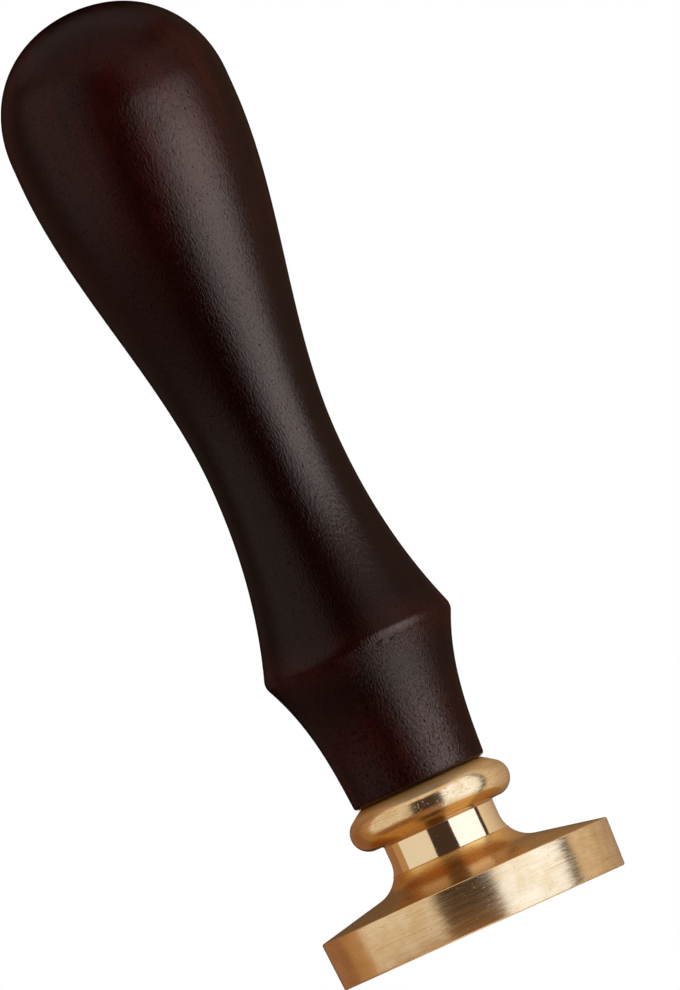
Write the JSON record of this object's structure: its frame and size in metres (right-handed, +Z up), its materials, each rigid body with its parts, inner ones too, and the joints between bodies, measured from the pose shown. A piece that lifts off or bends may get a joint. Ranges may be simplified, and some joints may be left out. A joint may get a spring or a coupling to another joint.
{
  "type": "wax seal stamp",
  "caption": "Hand stamp for sealing wax: a turned dark wooden handle with a domed bulb, on a stud that screws into a turned brass seal head with an engraved heart on its round die.",
  "frame": {"origin": "centre of the die face, on which the stamp stands", "axes": "+Z up along the axis of the handle, +Y towards the top of the engraved heart"},
  "size_m": [0.025, 0.025, 0.0805],
  "materials": {
    "brass": "turned and brushed, polished on the neck and bead",
    "zinc_plated_steel": "bright zinc plating",
    "stained_wood": "dark red-brown stain under satin lacquer, open pores"
  },
  "bodies": {
    "head": {"seal_head": "brass"},
    "bolt": {"hanger_bolt": "zinc_plated_steel"},
    "handle": {"handle": "stained_wood"}
  },
  "joints": [
    {"name": "handle_rise", "type": "slide", "parent": "head", "child": "bolt", "axis": [0, 0, 1], "range_m": [0, 0.00775]},
    {"name": "handle_turn", "type": "hinge", "parent": "bolt", "child": "handle", "pos_m": [0, 0, 0.0127], "axis": [0, 0, 1], "range_deg": [0, 2800]}
  ],
  "couplings": [
    {"joint": "handle_turn", "follows": "handle_rise", "rad_per_m": 6283.2}
  ]
}
